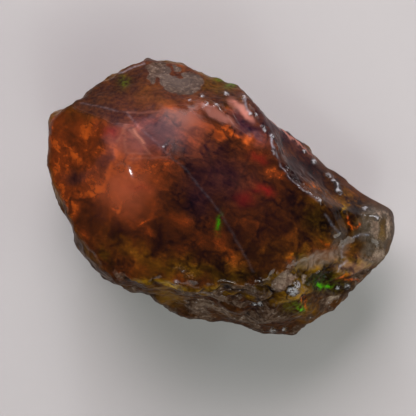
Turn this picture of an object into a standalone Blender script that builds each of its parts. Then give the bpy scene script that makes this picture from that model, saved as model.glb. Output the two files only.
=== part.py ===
"""Rough Ethiopian opal: one natural stone, lying on a flat break on its back.

Lengths are in millimetres up to the last step, which scales them to metres. +Z is up and +X runs
along the stone, towards its crusted nose. The origin is on the surface that the stone lies on, at
the middle of its plan. Every point of the surface is reached from the stone's heart by one straight
line: a pillow with the plan outline below is cut back by named breaks, lumps and hollows are added,
and each skin then gets its own roughness, most of all the host rock's crust where it is left.
"""

import math

import bmesh
import bpy
import numpy as np
from mathutils import Vector, noise

# Driving dimensions
LENGTH = 53.0
WIDTH = 34.0
HEIGHT = 23.0
MM = 0.001

# The heart is a little under half way up, on the plan's middle
HEART = np.array([0.0, 0.0, 10.5])

# Plan outline, anticlockwise from the nose, as shares of half the length and half the width
OUTLINE = [
    (0.995, 0.31), (0.995, 0.48), (0.91, 0.635), (0.775, 0.675), (0.50, 0.73), (0.31, 0.81),
    (0.04, 0.875), (-0.08, 0.93), (-0.165, 1.00), (-0.35, 0.95), (-0.475, 0.96), (-0.62, 0.875),
    (-0.70, 0.82), (-0.80, 0.575), (-0.87, 0.33), (-0.915, 0.20), (-0.995, 0.02), (-0.93, -0.22),
    (-0.84, -0.43), (-0.665, -0.665), (-0.50, -0.855), (-0.32, -0.985), (-0.205, -1.0),
    (-0.065, -0.945), (0.075, -0.99), (0.175, -0.965), (0.40, -0.825), (0.62, -0.73),
    (0.72, -0.62), (0.84, -0.355), (0.945, 0.06),
]
OUTLINE_STEPS = 12

# The pillow: how square its section is, and how far it reaches above and below the heart
FULLNESS = 2.6
CROWN_RISE = 17.0
BACK_DROP = 13.0

# Skins: bare glassy opal, frosted opal, and the host rock's crust
SKINS = GLASS, FROST, CRUST = range(3)

# Breaks that cut the pillow: name, a point on it, the way it faces, its radius of curvature
# (bulging if positive, hollow if negative, 0 for flat) and the skin that it carries
BREAKS = [
    ("window_upper", (0.9, -0.2, 23.0), (0.13, 0.24, 1.0), 50.0, GLASS),
    ("window_lower", (0.9, -0.2, 23.0), (0.02, -0.02, 1.0), 50.0, GLASS),
    ("window_left", (-21.0, -3.0, 16.8), (-0.52, -0.20, 0.85), 60.0, GLASS),
    ("step_scar", (-1.0, 11.2, 19.3), (0.05, 0.48, 0.87), -22.0, GLASS),
    ("upper_bevel", (-18.3, 7.9, 16.2), (-0.48, 0.55, 0.68), 0, FROST),
    ("upper_bevel_end", (-11.7, 12.8, 15.4), (-0.30, 0.75, 0.60), 0, FROST),
    ("upper_bevel_corner", (-5.8, 15.0, 15.4), (-0.16, 0.84, 0.52), 0, FROST),
    ("right_bevel", (8.8, 10.8, 13.8), (0.38, 0.80, 0.45), -35.0, GLASS),
    ("right_bevel_end", (19.2, 4.6, 16.3), (0.29, 0.42, 0.86), 0, GLASS),
    ("left_rim", (-24.6, -4.5, 12.4), (-0.88, -0.43, 0.30), 0, FROST),
    ("lower_crust_left", (-11.0, -14.8, 17.5), (-0.34, -0.91, 0.22), 0, CRUST),
    ("lower_crust", (-2.5, -13.6, 20.4), (0.33, -0.84, 0.43), 0, CRUST),
    ("lower_crust_middle", (8.8, -9.0, 21.0), (0.47, -0.70, 0.54), 0, CRUST),
    ("lower_crust_right", (16.0, -1.5, 18.8), (0.68, -0.26, 0.68), 0, CRUST),
    ("nose_top", (22.0, 6.0, 15.0), (0.42, 0.14, 0.90), 0, CRUST),
    ("back_left", (-17.5, 0.0, 4.0), (-0.48, 0.05, -0.88), 0, FROST),
    ("back_right", (17.0, 0.0, 4.0), (0.45, 0.05, -0.89), 0, CRUST),
    ("back_lower", (0.0, -13.0, 4.0), (0.04, -0.50, -0.86), 0, CRUST),
    ("back_upper", (0.0, 12.5, 4.0), (-0.05, 0.50, -0.86), 0, FROST),
]
RIDGE_SOFTNESS = 0.22

# Lumps and hollows: name, where, how far it spreads and how high it stands (hollow if negative)
LUMPS = [
    ("nose", (24.8, 9.2, 11.5), 3.0, 1.9),
    ("lower_corner", (15.0, -12.5, 11.0), 6.0, 1.3),
    ("nose_pit", (21.0, 2.6, 15.8), 2.0, -1.3),
    ("pebble", (14.8, -5.0, 17.5), 1.9, 0.9),
    ("crust_knob", (2.6, -11.0, 20.5), 2.6, 1.2),
    ("crust_bay", (-4.0, -15.5, 15.0), 3.0, -1.0),
]

# Roughness of each skin: how high its lumps stand and how far apart they are
ROUGHNESS = {GLASS: (0.14, 11.0), FROST: (0.30, 6.0), CRUST: (0.75, 4.2)}
ROUGH_OCTAVES = 4

# Mesh: cuts along each side of the cube that is blown up to the stone, and the share of it kept
GRID_CUTS = 60
KEPT_SHARE = 0.17
FLAT_WITHIN = 0.02
SHARP_ANGLE = math.radians(32)

OPAL_COLOUR = (0.30, 0.085, 0.02, 1.0)
CRUST_COLOUR = (0.17, 0.125, 0.075, 1.0)


def outline_reach(angles):
    """How far the plan outline is from the heart, at these angles about +Z."""
    points = np.array(OUTLINE) * (LENGTH / 2, WIDTH / 2)
    steps = np.linspace(0, 1, OUTLINE_STEPS, endpoint=False)[:, None]
    before, start = np.roll(points, 1, axis=0), points
    end, after = np.roll(points, -1, axis=0), np.roll(points, -2, axis=0)
    # A Catmull-Rom curve through the points
    curve = np.concatenate([
        0.5 * (2 * b + (c - a) * steps + (2 * a - 5 * b + 4 * c - d) * steps**2
               + (3 * b - 3 * c + d - a) * steps**3)
        for a, b, c, d in zip(before, start, end, after)
    ])
    around = np.arctan2(curve[:, 1], curve[:, 0])
    order = np.argsort(around)
    return np.interp(angles, around[order], np.hypot(*curve[order].T), period=2 * math.pi)


def pillow_reach(ways):
    """How far the uncut pillow's surface is from the heart, along each unit direction."""
    plan = np.hypot(ways[:, 0], ways[:, 1]) / outline_reach(np.arctan2(ways[:, 1], ways[:, 0]))
    tall = np.where(ways[:, 2] > 0, ways[:, 2] / CROWN_RISE, -ways[:, 2] / BACK_DROP)
    return (plan**FULLNESS + tall**FULLNESS) ** (-1 / FULLNESS)


def break_reach(ways, point, facing, radius):
    """How far a break's surface is from the heart, along each unit direction, or infinity."""
    normal = np.array(facing) / np.linalg.norm(facing)
    point = np.array(point) - HEART
    if radius == 0:
        towards = ways @ normal
        return np.where(towards > 1e-6, (point @ normal) / np.maximum(towards, 1e-6), np.inf)
    centre = point - normal * radius
    along = ways @ centre
    under_root = along**2 - centre @ centre + radius**2
    root = np.sqrt(np.maximum(under_root, 0))
    if radius > 0:
        return along + root
    return np.where((under_root > 0) & (along > 0), along - root, np.inf)


def stone_reach(ways):
    """The cut stone's surface along each direction, and each skin's share of it."""
    reaches = [pillow_reach(ways)]
    skins = [CRUST]
    for _, point, facing, radius, skin in BREAKS:
        reaches.append(break_reach(ways, point, facing, radius))
        skins.append(skin)
    reaches = np.array(reaches)
    nearest = reaches.min(axis=0)
    weights = np.exp((nearest - reaches) / RIDGE_SOFTNESS)
    reach = nearest - RIDGE_SOFTNESS * np.log(weights.sum(axis=0))
    shares = [weights[np.array(skins) == skin].sum(axis=0) for skin in SKINS]
    return reach, np.array(shares) / weights.sum(axis=0)


def lump_rise(points):
    """How far the lumps and hollows raise each point."""
    rise = np.zeros(len(points))
    for _, place, spread, height in LUMPS:
        apart = np.linalg.norm(points - place, axis=1) / spread
        rise += height * np.exp(-apart**2)
    return rise


def rough_rise(points, shares):
    """How far each skin's own roughness raises each point."""
    rise = np.zeros(len(points))
    for skin, (height, pitch) in ROUGHNESS.items():
        wave = [noise.fractal(Vector(p / pitch), 1.0, 2.0, ROUGH_OCTAVES) for p in points]
        rise += shares[skin] * height * np.array(wave)
    return rise


def sphere_grid(cuts):
    """A cube whose faces are cut into a grid and blown up to a unit sphere, as a bmesh."""
    ball = bmesh.new()
    bmesh.ops.create_cube(ball, size=2.0)
    bmesh.ops.subdivide_edges(ball, edges=ball.edges, cuts=cuts, use_grid_fill=True)
    for vert in ball.verts:
        even = Vector([math.tan(c * math.pi / 4) for c in vert.co])
        vert.co = even.normalized()
    return ball


def stone_points(ways):
    """The finished surface's points in millimetres, in place, and each skin's share there."""
    reach, shares = stone_reach(ways)
    points = HEART + ways * reach[:, None]
    points += ways * (lump_rise(points) + rough_rise(points, shares))[:, None]
    points[:, 2] = np.maximum(points[:, 2], 0)
    low, high = points.min(axis=0), points.max(axis=0)
    middle = (low + high) / 2
    middle[2] = 0
    return (points - middle) * (LENGTH, WIDTH, HEIGHT) / (high - low), shares


def make_material(name, colour, roughness, transmission):
    material = bpy.data.materials.new(name)
    material.use_nodes = True
    shader = material.node_tree.nodes["Principled BSDF"]
    shader.inputs["Base Color"].default_value = colour
    shader.inputs["Roughness"].default_value = roughness
    shader.inputs["Transmission Weight"].default_value = transmission
    shader.inputs["IOR"].default_value = 1.45
    material.diffuse_color = colour
    return material


def make_stone():
    ball = sphere_grid(GRID_CUTS)
    ways = np.array([vert.co for vert in ball.verts]) * (LENGTH, WIDTH, HEIGHT)
    ways /= np.linalg.norm(ways, axis=1)[:, None]
    points, shares = stone_points(ways)
    for vert, point in zip(ball.verts, points):
        vert.co = Vector(point) * MM
    crusted = shares[CRUST] > 0.5
    for face in ball.faces:
        face.material_index = int(sum(crusted[vert.index] for vert in face.verts) > 2)
    mesh = bpy.data.meshes.new("rough_opal")
    ball.to_mesh(mesh)
    ball.free()
    mesh.materials.append(make_material("opal", OPAL_COLOUR, 0.12, 0.6))
    mesh.materials.append(make_material("crust", CRUST_COLOUR, 0.75, 0.0))
    return bpy.data.objects.new("rough_opal", mesh)


def thin_out(stone):
    """Fewer faces where the surface is even, and the resting break made exactly flat again."""
    fewer = stone.modifiers.new("fewer_faces", "DECIMATE")
    fewer.ratio = KEPT_SHARE
    graph = bpy.context.evaluated_depsgraph_get()
    thinned = bpy.data.meshes.new_from_object(stone.evaluated_get(graph))
    stone.modifiers.remove(fewer)
    full = stone.data
    stone.data = thinned
    bpy.data.meshes.remove(full)
    thinned.name = stone.name
    for vert in thinned.vertices:
        if vert.co.z < FLAT_WITHIN * MM:
            vert.co.z = 0
    thinned.shade_smooth()
    thinned.set_sharp_from_angle(angle=SHARP_ANGLE)


def main():
    for old in list(bpy.data.objects):
        bpy.data.objects.remove(old)
    collection = bpy.data.collections.new("rough_ethiopian_opal")
    bpy.context.scene.collection.children.link(collection)
    stone = make_stone()
    collection.objects.link(stone)
    bpy.context.view_layer.update()
    thin_out(stone)


main()
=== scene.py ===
"""Rough Ethiopian opal: the finished surface and inside of one natural stone, on a pale floor."""

import math

import bmesh
import bpy
import numpy as np
from mathutils import Matrix, Vector, noise


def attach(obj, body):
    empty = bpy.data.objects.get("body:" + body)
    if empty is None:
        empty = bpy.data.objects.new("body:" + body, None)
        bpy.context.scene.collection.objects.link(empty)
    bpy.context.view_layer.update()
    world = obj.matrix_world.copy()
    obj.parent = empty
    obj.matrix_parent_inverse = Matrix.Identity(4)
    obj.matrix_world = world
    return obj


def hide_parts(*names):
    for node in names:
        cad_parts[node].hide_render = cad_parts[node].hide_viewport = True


MM = 0.001

# The stone's form, as the part has it, in millimetres: an outline, a pillow over and under it,
# and the breaks that cut it
LENGTH = 53.0
WIDTH = 34.0
HEIGHT = 23.0
HEART = np.array([0.0, 0.0, 10.5])
OUTLINE = [
    (0.995, 0.31), (0.995, 0.48), (0.91, 0.635), (0.775, 0.675), (0.50, 0.73), (0.31, 0.81),
    (0.04, 0.875), (-0.08, 0.93), (-0.165, 1.00), (-0.35, 0.95), (-0.475, 0.96), (-0.62, 0.875),
    (-0.70, 0.82), (-0.80, 0.575), (-0.87, 0.33), (-0.915, 0.20), (-0.995, 0.02), (-0.93, -0.22),
    (-0.84, -0.43), (-0.665, -0.665), (-0.50, -0.855), (-0.32, -0.985), (-0.205, -1.0),
    (-0.065, -0.945), (0.075, -0.99), (0.175, -0.965), (0.40, -0.825), (0.62, -0.73),
    (0.72, -0.62), (0.84, -0.355), (0.945, 0.06),
]
OUTLINE_STEPS = 12
FULLNESS = 2.6
CROWN_RISE = 17.0
BACK_DROP = 13.0
SKINS = GLASS, FROST, CRUST, RIND = range(4)
# Each break has a point on it, the way it faces, its radius and its skin. Radius 0 is flat, more
# is a dome and less is a hollow
BREAKS = [
    ("window_upper", (0.9, -0.2, 23.0), (0.13, 0.24, 1.0), 50.0, GLASS),
    ("window_lower", (0.9, -0.2, 23.0), (0.02, -0.02, 1.0), 50.0, GLASS),
    ("window_left", (-21.0, -3.0, 16.8), (-0.52, -0.20, 0.85), 60.0, GLASS),
    ("step_scar", (-1.0, 11.2, 19.3), (0.05, 0.48, 0.87), -22.0, GLASS),
    ("upper_bevel", (-18.3, 7.9, 16.2), (-0.48, 0.55, 0.68), 0, FROST),
    ("upper_bevel_end", (-11.7, 12.8, 15.4), (-0.30, 0.75, 0.60), 0, FROST),
    ("upper_bevel_corner", (-5.8, 15.0, 15.4), (-0.16, 0.84, 0.52), 0, FROST),
    ("right_bevel", (8.8, 10.8, 13.8), (0.38, 0.80, 0.45), -35.0, GLASS),
    ("right_bevel_end", (19.2, 4.6, 16.3), (0.29, 0.42, 0.86), 0, GLASS),
    ("left_rim", (-24.6, -4.5, 12.4), (-0.88, -0.43, 0.30), 0, FROST),
    ("lower_crust_left", (-11.0, -14.8, 17.5), (-0.34, -0.91, 0.22), 0, CRUST),
    ("lower_crust", (-2.5, -13.6, 20.4), (0.33, -0.84, 0.43), 0, CRUST),
    ("lower_crust_middle", (8.8, -9.0, 21.0), (0.47, -0.70, 0.54), 0, CRUST),
    ("lower_crust_right", (16.0, -1.5, 18.8), (0.68, -0.26, 0.68), 0, CRUST),
    ("nose_top", (22.0, 6.0, 15.0), (0.42, 0.14, 0.90), 0, CRUST),
    ("back_left", (-17.5, 0.0, 4.0), (-0.48, 0.05, -0.88), 0, FROST),
    ("back_right", (17.0, 0.0, 4.0), (0.45, 0.05, -0.89), 0, CRUST),
    ("back_lower", (0.0, -13.0, 4.0), (0.04, -0.50, -0.86), 0, CRUST),
    ("back_upper", (0.0, 12.5, 4.0), (-0.05, 0.50, -0.86), 0, FROST),
]
RIDGE_SOFTNESS = 0.22
# Each lump has its middle, its spread and its height, which is below 0 in a pit or a bay
LUMPS = [
    ("nose", (24.8, 9.2, 11.5), 3.0, 1.9),
    ("lower_corner", (15.0, -12.5, 11.0), 6.0, 1.3),
    ("nose_pit", (21.0, 2.6, 15.8), 2.0, -1.3),
    ("pebble", (14.8, -5.0, 17.5), 1.9, 0.9),
    ("crust_knob", (2.6, -11.0, 20.5), 2.6, 1.2),
    ("crust_bay", (-4.0, -15.5, 15.0), 3.0, -1.0),
]
# How high each skin's roughness is, its pitch, and its octaves
ROUGHNESS = {
    GLASS: (0.14, 11.0, 1), FROST: (0.30, 6.0, 4), CRUST: (0.75, 4.2, 4), RIND: (0.75, 4.2, 4),
}
# The grid that the stone is made from, and which way its points crowd together
GRID_CUTS = 127
FINER_TOP = (0, 0, 0.3)

# The camera: the turn of its picture, and the picture's middle and width at the stone
VIEW_TURN = math.radians(27)
VIEW_MIDDLE = (0.113, -0.773, 11.0)
VIEW_WIDTH = 60.3
VIEW_DISTANCE = 280.0
RIGHT = np.array([math.cos(VIEW_TURN), math.sin(VIEW_TURN), 0])
UP = np.array([-math.sin(VIEW_TURN), math.cos(VIEW_TURN), 0])

# Marks on the stone's upper side, in millimetres. Each has its middle, rightwards and upwards from
# the middle of the camera's picture, then its half length and half width, its turn in degrees,
# and its strength
MARKS = [
    # Lighter places in the amber and, below 0, darker ones
    ("tone", (-15.7, 6.2), (8.4, 8.4), 0, 0.28),
    ("tone", (-22.0, 7.5), (1.2, 4.5), 0, 0.08),
    ("tone", (-2.4, 9.6), (2.2, 1.2), -15, 0.10),
    ("tone", (-14.0, 10.6), (1.2, 1.8), 0, -0.14),
    ("tone", (-15.2, 6.9), (1.6, 1.2), 0, -0.10),
    ("tone", (0.5, -5.0), (7.0, 3.0), -10, 0.08),
    ("tone", (22.5, -3.5), (3.6, 3.6), 0, -0.12),
    ("tone", (-18.1, 10.6), (1.6, 0.9), 50, 0.24),
    ("tone", (-19.6, 8.0), (1.6, 0.6), -60, 0.26),
    ("tone", (-18.0, 8.3), (1.4, 0.5), 85, 0.16),
    ("tone", (-13.5, 8.1), (0.9, 0.4), -60, 0.22),
    ("tone", (-14.3, 5.1), (1.3, 0.5), 72, 0.24),
    ("tone", (-21.2, 2.5), (2.0, 0.7), -62, 0.22),
    ("tone", (-19.6, 0.1), (1.7, 0.7), -50, 0.17),
    ("tone", (-15.7, 2.9), (0.9, 0.6), 30, 0.27),
    ("tone", (-17.0, 2.0), (1.2, 0.4), 20, 0.18),
    ("tone", (-12.8, -0.3), (1.0, 0.3), 62, 0.24),
    ("tone", (-9.1, -1.9), (1.0, 0.3), 18, 0.24),
    ("tone", (-17.7, -3.9), (1.0, 0.6), -30, 0.19),
    ("tone", (-10.6, 9.4), (3.0, 2.4), -10, -0.24),
    ("tone", (-7.2, 11.2), (3.6, 2.2), -12, -0.16),
    ("tone", (-19.5, 12.2), (3.0, 1.8), 35, 0.10),
    ("tone", (1.6, 17.8), (3.2, 1.2), -18, 0.24),
    ("tone", (-15.8, 17.0), (4.0, 2.0), 28, -0.05),
    ("tone", (-2.0, 20.3), (2.4, 0.7), -25, 0.30),
    ("tone", (-14.0, 19.4), (3.2, 0.7), 38, 0.15),
    ("tone", (-14.9, 6.7), (1.9, 0.7), 60, -0.30),
    ("tone", (-19.3, 4.5), (2.2, 0.7), 8, -0.28),
    ("tone", (-16.8, -0.9), (2.8, 1.6), -25, -0.22),
    ("tone", (-13.2, -4.3), (4.3, 1.9), -15, -0.20),
    ("tone", (-13.0, 12.8), (1.9, 1.0), -8, -0.34),
    ("tone", (-7.3, -4.6), (2.6, 0.8), 80, -0.28),
    ("tone", (-8.6, -3.4), (1.5, 0.4), -65, 0.16),
    ("tone", (2.6, 3.2), (7.5, 5.8), -22, -0.26),
    ("tone", (-2.6, 1.4), (3.5, 2.3), -48, -0.10),
    ("tone", (-1.2, 6.2), (1.8, 1.2), -20, 0.10),
    ("tone", (-3.5, -1.6), (2.0, 1.4), 0, 0.22),
    ("tone", (2.8, -6.4), (3.2, 0.9), -60, 0.34),
    ("tone", (-7.6, -5.6), (1.8, 1.2), 0, -0.16),
    ("tone", (17.6, -10.4), (4.5, 1.4), 0, -0.12),
    ("tone", (21.0, -8.6), (2.2, 0.9), -5, 0.12),
    ("tone", (0.3, -9.8), (1.6, 1.6), 0, -0.14),
    ("tone", (-3.0, -6.6), (2.6, 2.0), 0, -0.12),
    ("tone", (4.8, -8.0), (1.4, 1.2), 0, 0.18),
    ("tone", (8.0, -5.4), (0.9, 1.0), 60, 0.20),
    ("tone", (12.2, -4.1), (1.6, 0.9), 10, 0.26),
    ("tone", (11.9, -7.1), (0.6, 0.7), 70, 0.30),
    ("tone", (9.7, 5.1), (1.2, 0.7), -10, 0.50),
    ("tone", (1.6, 11.0), (4.2, 0.9), -14, 0.40),
    ("tone", (4.3, 10.7), (2.8, 0.5), -24, 0.30),
    ("tone", (6.2, 11.5), (3.4, 0.9), -41, -0.10),
    ("tone", (2.0, 9.9), (1.4, 0.4), -12, 0.26),
    ("tone", (3.8, 8.8), (0.4, 0.7), 60, 0.30),
    ("tone", (5.7, 8.7), (0.7, 0.4), -30, 0.28),
    ("tone", (5.1, -2.0), (0.9, 1.4), 70, 0.14),
    ("tone", (-9.3, 17.4), (0.4, 0.9), 80, 0.14),
    ("tone", (-5.2, 15.1), (5.2, 1.3), -4, 0.12),
    ("tone", (-17.1, 13.9), (3.5, 1.3), 20, -0.12),
    ("tone", (13.3, 5.5), (6.1, 2.9), -42, -0.14),
    ("tone", (12.5, 9.0), (8.0, 1.6), -42, -0.22),
    ("tone", (17.6, -10.9), (3.2, 1.5), -8, -0.20),
    ("tone", (12.6, -14.2), (2.2, 1.1), 0, -0.06),
    ("tone", (-6.0, -12.2), (2.8, 1.6), -35, 0.20),
    ("tone", (13.3, -2.5), (3.5, 2.2), 0, -0.19),
    ("tone", (19.5, -0.5), (0.35, 0.8), 0, 0.36),
    ("tone", (25.4, -3.2), (0.7, 1.6), 0, 0.42),
    ("tone", (-12.4, -5.2), (2.6, 1.4), -30, 0.16),
    ("tone", (14.8, 3.2), (1.3, 0.7), -40, 0.26),
    # Painted glow: coral light shining through the left lobe, and a smaller one above the middle
    ("painted_glow", (-12.2, 2.7), (3.5, 3.3), 0, 1.00),
    ("painted_glow", (-2.3, 13.0), (1.9, 1.4), -20, 0.60),
    # Painted reflection: a milky pink sheen on planes along the step
    ("pink_sheen", (1.2, 13.6), (2.9, 0.65), -31, 1.00),
    ("pink_sheen", (5.1, 14.1), (1.9, 0.55), -48, 1.00),
    ("pink_sheen", (3.4, 15.3), (0.9, 0.5), -40, 0.40),
    ("pink_sheen", (-11.6, 9.0), (2.9, 2.3), 12, 0.20),
    ("pink_sheen", (11.7, 10.6), (5.0, 0.18), -42, 0.60),
    # Plum: the stone's own purplish cloud, with a painted mauve reflection haze and dark plum sheen
    ("plum_and_sheen", (-6.6, 11.4), (4.6, 2.6), -15, 1.00),
    ("plum_and_sheen", (6.0, 11.5), (3.6, 1.1), -41, 1.20),
    ("plum_and_sheen", (9.7, 12.5), (5.2, 1.0), -41, 0.80),
    ("plum_and_sheen", (2.0, 4.6), (5.5, 3.5), -20, 0.55),
    ("plum_and_sheen", (-1.9, 1.2), (2.6, 1.7), -60, 0.45),
    ("plum_and_sheen", (-10.0, 9.8), (3.2, 2.6), -25, 0.90),
    ("plum_and_sheen", (-14.5, 7.2), (1.8, 1.0), 55, 0.70),
    ("plum_and_sheen", (-14.0, 10.6), (1.3, 1.8), 0, 0.80),
    ("plum_and_sheen", (-18.8, 4.6), (2.2, 0.9), 8, 0.40),
    ("plum_and_sheen", (21.0, -8.6), (2.3, 0.9), -5, 1.30),
    # Olive-yellow places
    ("olive", (19.5, -0.5), (0.9, 1.2), 0, 0.60),
    ("olive", (15.5, -1.5), (3.4, 2.6), -50, 0.85),
    ("olive", (24.0, -3.5), (5.5, 5.5), 0, 1.00),
    ("olive", (9.0, -6.5), (6.0, 2.2), 12, 0.35),
    ("olive", (-10.5, -6.5), (5.0, 1.6), -32, 0.50),
    ("olive", (4.1, -9.9), (7.0, 1.2), -4, 0.85),
    ("olive", (-14.8, -7.0), (2.0, 0.9), -52, 0.65),
    ("olive", (-3.2, -8.4), (4.3, 1.7), 0, 0.65),
    ("olive", (1.4, 17.5), (3.8, 1.7), -18, 1.10),
    ("olive", (18.4, 3.8), (4.6, 2.0), -42, 0.60),
    ("olive", (-12.0, 18.7), (2.6, 1.7), 20, 0.75),
    ("olive", (-16.5, 15.6), (3.6, 1.8), 28, 0.60),
    ("olive", (-8.5, 16.5), (3.5, 2.0), 0, 0.35),
    ("olive", (-9.4, 20.4), (0.9, 0.4), 10, 0.80),
    ("olive", (13.3, -7.0), (1.4, 0.7), 30, 0.70),
    ("olive", (-7.0, -12.2), (3.8, 1.3), -30, 0.70),
    # Play of colour: red, green, and orange fire
    ("red", (8.3, 2.6), (0.6, 1.3), 70, 1.00),
    ("red", (7.2, 7.2), (0.7, 1.3), 60, 0.65),
    ("red", (5.5, 1.4), (1.3, 1.2), 0, 0.45),
    ("red", (-14.2, 10.9), (0.6, 1.2), 80, 0.55),
    ("red", (-10.1, 3.0), (0.6, 1.6), 85, 0.35),
    ("green", (1.6, -2.3), (1.1, 0.32), 82, 1.60),
    ("green", (16.1, -11.3), (0.55, 0.35), -35, 1.40),
    ("green", (17.5, -11.4), (0.5, 0.28), 10, 1.20),
    ("green", (17.2, -11.0), (2.6, 1.3), -6, 0.12),
    ("green", (12.6, -14.2), (1.7, 0.9), 0, 0.20),
    ("green", (3.3, 17.7), (0.7, 0.3), 8, 0.45),
    ("green", (1.7, 18.6), (0.7, 0.3), 0, 0.35),
    ("green", (13.4, -14.7), (0.45, 0.4), 0, 0.90),
    ("green", (-12.2, 18.3), (0.7, 0.9), 0, 0.16),
    ("fire", (17.0, -5.1), (0.8, 0.22), -32, 0.90),
    ("fire", (19.6, -9.9), (0.9, 0.16), 20, 0.90),
    ("fire", (20.8, -10.4), (0.8, 0.16), -6, 0.90),
    ("fire", (13.5, -13.2), (0.5, 0.16), -80, 0.90),
    ("fire", (14.1, -13.9), (0.8, 0.14), -84, 0.90),
    ("fire", (12.0, -7.2), (0.4, 0.7), -10, 0.50),
    # Granular host rock, and bare places in it
    ("rock", (-7.1, 19.9), (1.8, 1.1), -25, 1.00),
    ("rock", (-5.6, 18.3), (1.5, 1.1), -40, 1.00),
    ("rock", (-3.3, 18.0), (2.8, 1.6), 12, 1.00),
    ("rock", (-8.3, 18.9), (0.7, 0.8), 20, 0.90),
    ("rock", (-6.9, 20.9), (1.0, 0.4), 15, 0.90),
    ("rock", (-4.8, 19.15), (1.2, 0.4), -8, -0.90),
    ("rock", (-4.5, 20.3), (0.7, 0.4), 0, 0.90),
    ("rock", (-4.7, 19.4), (0.5, 0.2), 0, 0.90),
    ("rock", (-3.5, -9.4), (2.4, 1.0), -30, 0.40),
    ("rock", (10.8, -10.6), (2.1, 1.5), 0, 0.90),
    ("rock", (18.3, -12.9), (1.8, 0.5), 38, 0.90),
    ("rock", (14.0, -10.3), (0.6, 0.9), 0, 1.00),
    ("rock", (25.4, -2.4), (2.4, 3.0), -15, 0.60),
    ("rock", (25.3, -2.8), (0.7, 2.0), 0, -0.30),
    ("rock", (24.3, -6.8), (1.9, 1.4), 20, 0.60),
    ("rock", (5.5, -11.8), (4.4, 0.7), -8, 0.60),
    ("rock", (8.0, -15.6), (5.0, 1.0), 6, 0.70),
    ("rock", (-1.6, -14.6), (3.0, 1.0), -30, 0.55),
    ("rock", (-8.5, -13.0), (1.3, 2.2), 35, 0.60),
    ("rock", (-12.4, -9.8), (1.8, 0.5), -35, 0.60),
    # A thin grey film on the glass
    ("film", (16.0, -7.3), (3.9, 0.95), 14, 0.80),
    ("film", (21.0, -8.6), (2.4, 1.0), -5, 0.22),
    ("film", (19.2, -4.6), (1.1, 1.9), 20, 0.60),
    ("film", (22.6, -4.3), (1.6, 0.6), -20, 0.35),
    ("film", (23.2, -2.2), (1.5, 2.2), -20, 0.55),
    ("film", (25.2, -2.6), (2.7, 3.8), -15, 0.95),
    ("film", (24.0, -6.9), (2.1, 1.6), 20, 0.95),
    ("film", (25.4, -3.2), (0.6, 1.5), 0, -0.35),
    # Glassy openings in the crust
    ("window", (17.6, -11.0), (3.7, 1.8), 0, 1.00),
    ("window", (12.1, -14.1), (2.4, 1.2), 0, 1.00),
    ("window", (22.2, -5.0), (2.5, 2.0), -15, 1.00),
    ("window", (18.8, -4.6), (1.3, 1.9), 20, 1.00),
    ("window", (12.9, -7.8), (2.2, 0.9), 20, 1.00),
    ("window", (8.8, -9.3), (1.2, 1.1), 0, 1.00),
    ("window", (-5.8, -12.1), (1.7, 2.4), 20, 1.00),
    ("window", (4.6, -9.9), (5.4, 0.8), -2, 1.00),
    # Pale places in the host rock
    ("pale", (25.4, -2.0), (1.9, 2.2), -30, 0.90),
    ("pale", (26.4, -3.6), (1.2, 2.0), -10, 0.50),
    ("pale", (0.5, -14.2), (5.5, 1.8), -25, 0.40),
    ("pale", (24.5, -6.7), (1.5, 1.0), 20, 0.90),
    ("pale", (10.8, -10.4), (1.9, 1.2), 0, 0.75),
    ("pale", (14.0, -10.3), (0.6, 0.9), 0, 1.00),
    ("pale", (18.3, -12.9), (1.7, 0.5), 38, 0.90),
    ("pale", (-4.3, 18.6), (4.6, 2.0), 0, -0.05),
    # Places with less mottling and grain
    ("calm", (16.0, -7.3), (3.9, 1.2), 14, 1.00),
    ("calm", (-4.3, 18.6), (4.6, 2.2), 0, 1.00),
    ("calm", (-19.5, 12.2), (3.8, 2.4), 35, 1.00),
    ("calm", (-11.5, 9.0), (3.5, 2.5), 0, 0.80),
    ("calm", (-12.4, 2.2), (4.2, 4.0), 0, 0.60),
    ("calm", (-14.0, -5.5), (5.0, 2.2), -35, 0.60),
    # Cloudy places that let little light through
    ("dense", (13.0, 8.2), (9.0, 2.6), -42, 1.00),
    ("dense", (20.0, 2.5), (3.0, 2.5), -42, 0.80),
    ("dense", (6.4, 11.6), (3.4, 1.7), -40, 1.10),
    ("dense", (-1.6, 9.4), (3.4, 2.3), -15, 0.95),
    ("dense", (17.6, -11.2), (3.6, 2.2), 0, 1.20),
    ("dense", (12.4, -14.1), (2.5, 1.6), 0, 1.20),
    ("dense", (16.5, -7.6), (4.2, 1.6), 14, 1.00),
    ("dense", (-12.0, 13.0), (6.0, 1.3), -12, 1.20),
    ("dense", (-7.3, 14.0), (2.8, 1.2), 30, 1.20),
    # Less polished glass
    ("satin", (-4.0, 10.6), (6.5, 4.6), -12, 0.80),
    ("satin", (-13.0, 12.6), (5.0, 1.2), -13, 1.00),
    # Ridges with chips off them
    ("chips", (-0.4, 15.3), (2.6, 1.0), -10, 1.00),
    ("chips", (6.1, 13.0), (1.3, 2.9), 10, 0.35),
    ("chips", (9.3, 9.8), (0.9, 2.2), 10, 0.50),
    ("chips", (14.0, 3.6), (4.4, 1.2), -40, 0.80),
    ("chips", (18.4, 3.6), (2.4, 1.6), -40, 1.00),
    ("chips", (21.0, -1.0), (2.4, 1.6), -40, 0.60),
]
# How far a mark's edge wanders in millimetres, and how crisp it is: 1 fades out, 3 ends at a line
MARK_EDGES = {
    "tone": (0.4, 1), "painted_glow": (0.5, 1), "pink_sheen": (0.2, 2), "plum_and_sheen": (0.6, 1), "olive": (0.6, 1),
    "red": (0.3, 1), "green": (0.15, 1), "fire": (0.15, 1), "rock": (0.32, 3), "window": (0.35, 3),
    "film": (0.25, 2), "pale": (0.5, 1), "calm": (0.5, 1), "dense": (0.5, 1), "satin": (0.5, 1),
    "chips": (0.3, 2),
}
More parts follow.
